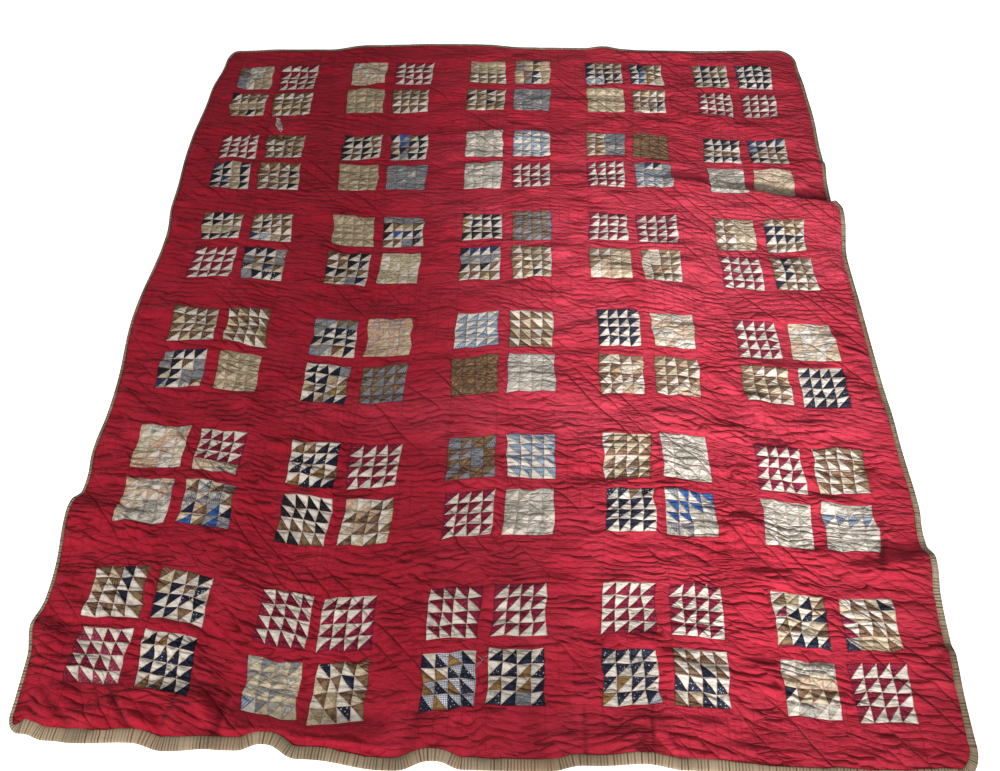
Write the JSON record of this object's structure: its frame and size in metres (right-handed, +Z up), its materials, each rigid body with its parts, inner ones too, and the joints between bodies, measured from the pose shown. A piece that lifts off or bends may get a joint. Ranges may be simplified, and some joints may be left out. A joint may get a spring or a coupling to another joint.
{
  "type": "patchwork quilt coverlet",
  "caption": "Pieced cotton patchwork quilt for a double bed, laid out flat, with soft folds, wavy edges and a bound rim.",
  "frame": {"origin": "on the surface that the quilt lies on, under the middle of its outline", "axes": "+X across the quilt to its right, +Y along it from the foot to the head, +Z up"},
  "size_m": [1.8158, 2.1186, 0.0307],
  "materials": {
    "pieced_cotton": "matte washed cotton, Turkey red with small patchwork of scrap prints, hand quilted",
    "striped_homespun": "matte plain-woven cotton with narrow olive-brown and cream stripes, worn at the fold"
  },
  "bodies": {
    "root": {"quilted_panel": "pieced_cotton", "binding_foot": "striped_homespun", "binding_right": "striped_homespun", "binding_head": "striped_homespun", "binding_left": "striped_homespun"}
  },
  "joints": []
}
